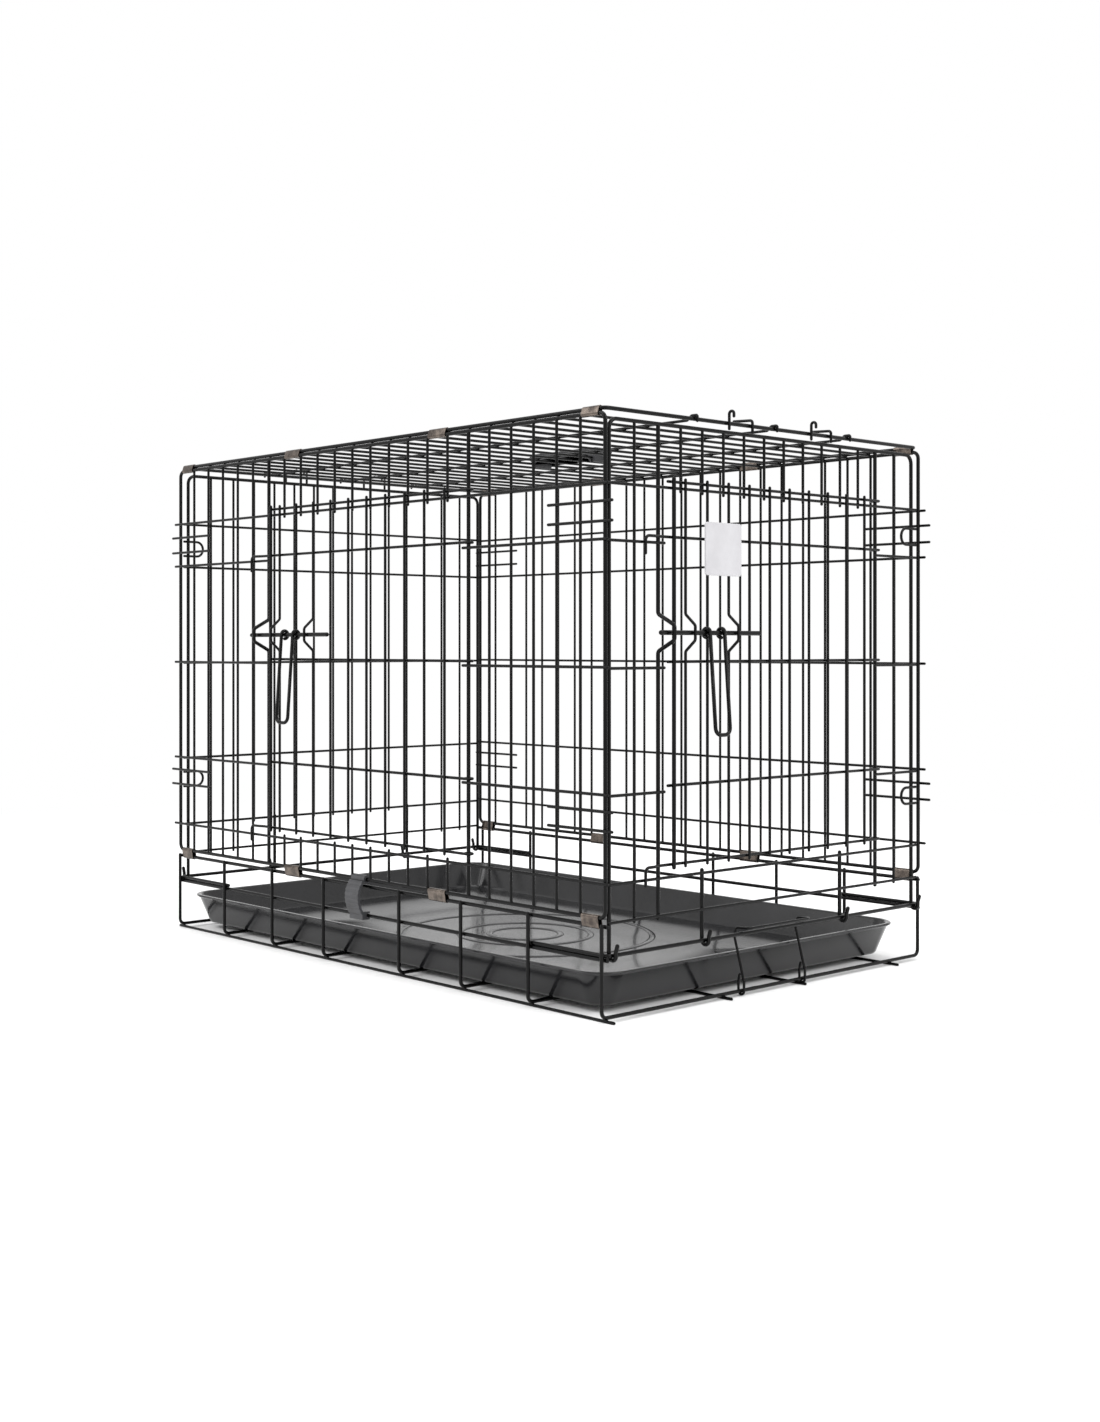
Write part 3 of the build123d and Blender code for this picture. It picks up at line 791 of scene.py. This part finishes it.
def buildClips(low, high):
    def build(shape):
        inner = rodR + clips["gap"]
        loops = [clipLoop(low, high, inner + clips["thick"]), clipLoop(low, high, inner)]
        for place, width in ((-clips["outerX"], "narrow"), (-clips["innerX"], "wide")):
            half = clips[width] / 2
            for x in (place, -place):
                extrudeProfile(shape, loops, lambda p, t: (t * mm, p[0] * mm, p[1] * mm), x - half, x + half)

    return build


for side, sign in (("near", -1), ("far", 1)):
    panelTop = (sign * layout["sidePlane"], layout["sideTop"])
    panelLow = (sign * layout["sidePlane"], layout["sideBottom"])
    lid = (sign * topSizes["side"], topSizes["z"])
    baseRod = (sign * baseSizes["side"], baseSizes["sideZ"])
    for level, low, high in (("Top", panelTop, lid), ("Base", baseRod, panelLow)):
        name, node = f"{side}{level}HingeClips", f"{side}_{level.lower()}_hinge_clips"
        solidPiece(name, buildClips(low, high), "cage", [node], platedSteel, 0.2)

# Tray
traySizes = {
    "front": 294.0,
    "rear": -306.0,
    "half": 203.0,
    "floor": 6.0,
    "rim": 35.4,
    "wall": 2.0,
    "slope": 11.0,
    "lip": 3.0,
    "corner": 30.0,
    "rings": (35.0, 65.0, 125.0),
    "ringWidth": 6.0,
    "ringHeight": 0.8,
    "cornerSteps": 10,
    "ringSteps": 96,
    "ringSlope": ((-0.6, -0.2), (0.6, 0.55)),  # from the ring's edge, then height above the floor
    "ringTop": 1.4,
    "under": ((6.0, 0.0), (1.2, 0.3), (-0.4, 2.2)),  # from the foot inward, then height
    "wallTop": ((0.4, 3.4), (-0.4, 2.2)),  # from the lip inward, then depth below the rim
    "lipEdge": ((0.7, 2.0), (0.1, 1.5), (0.1, 0.5), (0.8, 0.0)),
    "lipInner": ((1.2, 0.0), (2.0, 0.5), (2.4, 1.6)),
    "inside": ((1.4, 3.0), (2.6, 0.9), (4.6, 0.0), (120.0, 0.0)),
    "middleCorner": 14.0,
}


def trayLoop(inset, z, r):
    t = traySizes
    long = (t["front"] - t["rear"]) / 2 - inset
    wide = t["half"] - inset
    middle = (t["front"] + t["rear"]) / 2
    loop = []
    for sx, sy, start in ((1, 1, 0), (-1, 1, 90), (-1, -1, 180), (1, -1, 270)):
        for i in range(t["cornerSteps"] + 1):
            a = math.radians(start + 90 * i / t["cornerSteps"])
            loop.append((middle + sx * (long - r) + r * math.cos(a), sy * (wide - r) + r * math.sin(a), z))
    return loop


def buildTray(shape):
    t = traySizes
    foot = t["lip"] + t["slope"]
    top = t["floor"] + t["wall"]
    rim = t["rim"]
    section = [(foot + inset, t["floor"] + rise) for inset, rise in t["under"]]
    section += [(t["lip"] + inset, rim - drop) for inset, drop in t["wallTop"]]
    section += [(inset, rim - drop) for inset, drop in t["lipEdge"]]
    section += [(t["lip"] + inset, rim - drop) for inset, drop in t["lipInner"]]
    section += [(foot + inset, top + rise) for inset, rise in t["inside"]]
    loops = []
    for inset, z in section:
        r = t["middleCorner"] if inset > foot + 20 else max(t["corner"] - inset, 8.0)
        loops.append([shape.verts.new([c * mm for c in p]) for p in trayLoop(inset, z, r)])
    for low, high in zip(loops, loops[1:]):
        for i in range(len(low)):
            k = (i + 1) % len(low)
            shape.faces.new((low[i], low[k], high[k], high[i]))
    shape.faces.new(loops[0])
    shape.faces.new(loops[-1])
    half = t["ringWidth"] / 2
    middle = (t["front"] + t["rear"]) / 2
    for ring in t["rings"]:
        profile = [(edge - half, rise) for edge, rise in t["ringSlope"]]
        profile.append((t["ringTop"] - half, t["ringHeight"]))
        profile += [(-p, h) for p, h in reversed(profile)]
        turns = []
        for i in range(t["ringSteps"]):
            a = 2 * math.pi * i / t["ringSteps"]
            places = [((ring + p) * math.cos(a), (ring + p) * math.sin(a), top + h) for p, h in profile]
            turns.append([shape.verts.new(((x + middle) * mm, y * mm, z * mm)) for x, y, z in places])
        for low, high in zip(turns, turns[1:] + turns[:1]):
            for k in range(len(profile)):
                n = (k + 1) % len(profile)
                shape.faces.new((low[k], low[n], high[n], high[k]))


solidPiece("trayPan", buildTray, "tray", ["tray"], formedPlastic)

# Carry handle
handleSizes = {
    "start": -21.0,
    "end": 74.0,
    "y": 30.0,
    "width": 20.0,
    "top": 484.0,
    "thick": 6.5,
    "corner": 3.0,
    "collar": 4.5,
    "slotHalf": 1.05,
    "fit": 0.05,
}


def buildHandle(shape):
    h = handleSizes
    wireA, wireB, wireZ, collar = -pitch / 2, 2.5 * pitch, topSizes["crossZ"], h["collar"]
    under = h["top"] - h["thick"]
    slotHalf, hole = h["slotHalf"], meshR + h["fit"]

    def clipProfile(x):
        points = [(x - collar - 1.5, under), (x - collar, under - 1.2)]
        for i in range(0, 8):
            a = math.radians(180 + 78 * i / 7)
            points.append((x + collar * math.cos(a), wireZ + collar * math.sin(a)))
        points.append((x - slotHalf, wireZ - 0.75))
        for i in range(0, 13):
            a = math.radians(218 - 256 * i / 12)
            points.append((x + hole * math.cos(a), wireZ + hole * math.sin(a)))
        points.append((x + slotHalf, wireZ - 0.75))
        for i in range(0, 8):
            a = math.radians(282 + 78 * i / 7)
            points.append((x + collar * math.cos(a), wireZ + collar * math.sin(a)))
        points += [(x + collar, under - 1.2), (x + collar + 1.5, under)]
        return points

    outline = [(h["start"], under + 2), (h["start"] + 1.5, under)] + clipProfile(wireA)
    for i in range(1, 12):
        x = wireA + collar + 2 + (wireB - wireA - 2 * collar - 4) * i / 12
        outline.append((x, under + (0.5 if i % 2 else 0.0)))
    outline += clipProfile(wireB) + [(h["end"] - 1.5, under), (h["end"], under + 2)]
    corner = h["corner"]
    outline += [(h["end"], h["top"] - corner), (h["end"] - corner, h["top"])]
    outline += [(h["start"] + corner, h["top"]), (h["start"], h["top"] - corner)]
    low, high = h["y"] - h["width"] / 2, h["y"] + h["width"] / 2
    extrudeProfile(shape, [outline], lambda p, t: (p[0] * mm, t * mm, p[1] * mm), low, high)


solidPiece("carryHandle", buildHandle, "cage", ["carry_handle"], handleNylon, 0.8)

# Label plate, bare
plateSizes = {"left": -98.0, "width": 45.0, "bottom": 350.0, "height": 43.5, "thick": 1.6, "corner": 2.5}


def buildPlate(shape):
    p = plateSizes
    r, outline = p["corner"], []
    for cx, cz, start in ((1, 1, 0), (0, 1, 90), (0, 0, 180), (1, 0, 270)):
        x = p["left"] + (p["width"] - r if cx else r)
        z = p["bottom"] + (p["height"] - r if cz else r)
        for i in range(9):
            a = math.radians(start + 90 * i / 8)
            outline.append((x + r * math.cos(a), z + r * math.sin(a)))
    low = layout["door"] + meshR + layout["weldGap"]

    def place(q, t):
        return [c * mm for c in seats["front"](q[0], t, q[1])]

    extrudeProfile(shape, [outline], place, low, low + p["thick"])


solidPiece("labelPlate", buildPlate, "end_door", ["label_plate"], plateAbs, 0.35)

# Fold clip: lever with ribs across its back
leverSizes = {
    "x": -1.5,
    "width": 19.0,
    "collar": 1.85,
    "thick": 2.2,
    "strip": 2.6,
    "rib": 0.55,
    "hookLeft": 2.1,
    "hookRight": 5.4,
    "hookHalf": 3.7,
    "first": (3.0, -0.5),  # the strip's start and apex from the pivot, and its end from the hook
    "apex": (9.5, -15.0),
    "last": (4.0, 0.5),
    "steps": 25,
    "collarSteps": 28,
    "hookSteps": 12,
}


def leverBack(pivot, hook):
    first, apex = ([pivot[k] + leverSizes[name][k] for k in (0, 1)] for name in ("first", "apex"))
    last = (pivot[0] + leverSizes["last"][0], hook[1] + leverSizes["last"][1])
    control = [2 * apex[k] - (first[k] + last[k]) / 2 for k in (0, 1)]
    steps = leverSizes["steps"]
    back = []
    for i in range(1, steps):
        t = i / steps
        a, b, c = (1 - t) ** 2, 2 * t * (1 - t), t * t
        back.append([a * first[k] + b * control[k] + c * last[k] for k in (0, 1)])
    return back


def buildLever(shape):
    v = leverSizes
    pivot = (layout["sidePlane"], layout["sideBottom"])
    hook = (baseSizes["side"], baseSizes["midZ"])
    bore, half = v["collar"], v["strip"] / 2
    low, high = v["x"] - v["width"] / 2, v["x"] + v["width"] / 2

    def place(p, t):
        return (t * mm, -p[0] * mm, p[1] * mm)

    circle = [math.radians(360 * i / v["collarSteps"]) for i in range(v["collarSteps"])]
    radii = (bore + v["thick"], bore)
    loops = [[(pivot[0] + r * math.cos(a), pivot[1] + r * math.sin(a)) for a in circle] for r in radii]
    extrudeProfile(shape, loops, place, low, high)

    back = leverBack(pivot, hook)
    outside, inside = [], []
    for i, p in enumerate(back):
        before, after = back[max(i - 1, 0)], back[min(i + 1, len(back) - 1)]
        dx, dz = after[0] - before[0], after[1] - before[1]
        size = math.hypot(dx, dz)
        n = (-dz / size, dx / size)
        rib = v["rib"] if i % 3 == 1 else 0.0
        outside.append((p[0] + n[0] * (half + rib), p[1] + n[1] * (half + rib)))
        inside.append((p[0] - n[0] * half, p[1] - n[1] * half))
    extrudeProfile(shape, [outside + inside[::-1]], place, low, high)

    left, right, reach = hook[0] - v["hookLeft"], pivot[0] + v["hookRight"], v["hookHalf"]
    block = [(left, hook[1] + reach), (left, hook[1] + bore)]
    for i in range(v["hookSteps"] + 1):
        a = math.radians(90 - 180 * i / v["hookSteps"])
        block.append((hook[0] + bore * math.cos(a), hook[1] + bore * math.sin(a)))
    block += [(left, hook[1] - bore), (left, hook[1] - reach)]
    block += [(right, hook[1] - reach), (right, hook[1] + reach)]
    extrudeProfile(shape, [block], place, low, high)


solidPiece("foldClip", buildLever, "fold_clip", ["fold_clip"], leverAcetal, 0.3)
print("solid pieces made")


# Floor, light and camera
floorSettings = {"size": 40.0, "colour": "#f4f4f4", "fadeStart": 0.7, "fadeEnd": 1.6}


def studioPaper():
    material = bpy.data.materials.new("whiteStudioPaper")
    material.use_nodes = True
    tree = material.node_tree
    tree.nodes.clear()
    place = addNode(tree, "ShaderNodeTexCoord").outputs["Object"]
    length = addNode(tree, "ShaderNodeVectorMath", {"operation": "LENGTH"}, links={0: place})
    fade = addNode(
        tree,
        "ShaderNodeMapRange",
        {"interpolation_type": "SMOOTHSTEP"},
        {"From Min": floorSettings["fadeStart"], "From Max": floorSettings["fadeEnd"]},
        {"Value": length.outputs["Value"]},
    ).outputs["Result"]
    colour = linear(floorSettings["colour"])
    paper = addNode(tree, "ShaderNodeBsdfDiffuse", values={"Color": colour}).outputs["BSDF"]
    glow = addNode(tree, "ShaderNodeEmission").outputs["Emission"]
    mixed = addNode(tree, "ShaderNodeMixShader", links={0: fade, 1: paper, 2: glow}).outputs["Shader"]
    addNode(tree, "ShaderNodeOutputMaterial", links={"Surface": mixed})
    return material


bpy.ops.mesh.primitive_plane_add(size=floorSettings["size"])
floor = bpy.context.object
floor.name = "studioFloor"
floor.data.materials.append(studioPaper())

worldStrength = 1.0
world = bpy.data.worlds.new("studio")
bpy.context.scene.world = world
world.use_nodes = True
world.node_tree.nodes["Background"].inputs["Color"].default_value = linear("#ffffff")
world.node_tree.nodes["Background"].inputs["Strength"].default_value = worldStrength

lights = (
    ("softboxLeft", (-1.2, -2.6, 2.4), 2.2, 45.0),
    ("softboxRight", (2.8, 0.6, 2.2), 2.2, 35.0),
    ("overhead", (0.2, 0.2, 3.2), 2.8, 45.0),
)
for name, place, size, power in lights:
    lamp = bpy.data.lights.new(name, "AREA")
    lamp.shape = "SQUARE"
    lamp.size = size
    lamp.energy = power
    holder = bpy.data.objects.new(name, lamp)
    holder.location = place
    aim = np.array((0.0, 0.0, 0.24)) - np.array(place)
    yaw = math.atan2(aim[1], aim[0]) - math.pi / 2
    tilt = math.atan2(math.hypot(aim[0], aim[1]), -aim[2])
    holder.rotation_euler = (tilt, 0, yaw)
    bpy.context.collection.objects.link(holder)

cameraSettings = {
    "place": (1.229767, -1.171415, 0.292155),
    "yaw": 0.855708,
    "lens": 43.556,
    "shift": (0.0703, -0.0455),
}
cameraData = bpy.data.cameras.new("camera")
cameraData.lens = cameraSettings["lens"]
cameraData.sensor_width = 36.0
cameraData.shift_x, cameraData.shift_y = cameraSettings["shift"]
camera = bpy.data.objects.new("camera", cameraData)
camera.location = cameraSettings["place"]
camera.rotation_euler = (math.pi / 2, 0, cameraSettings["yaw"])
bpy.context.collection.objects.link(camera)
bpy.context.scene.camera = camera
bpy.context.scene.view_settings.view_transform = "Standard"

print("scene ready")
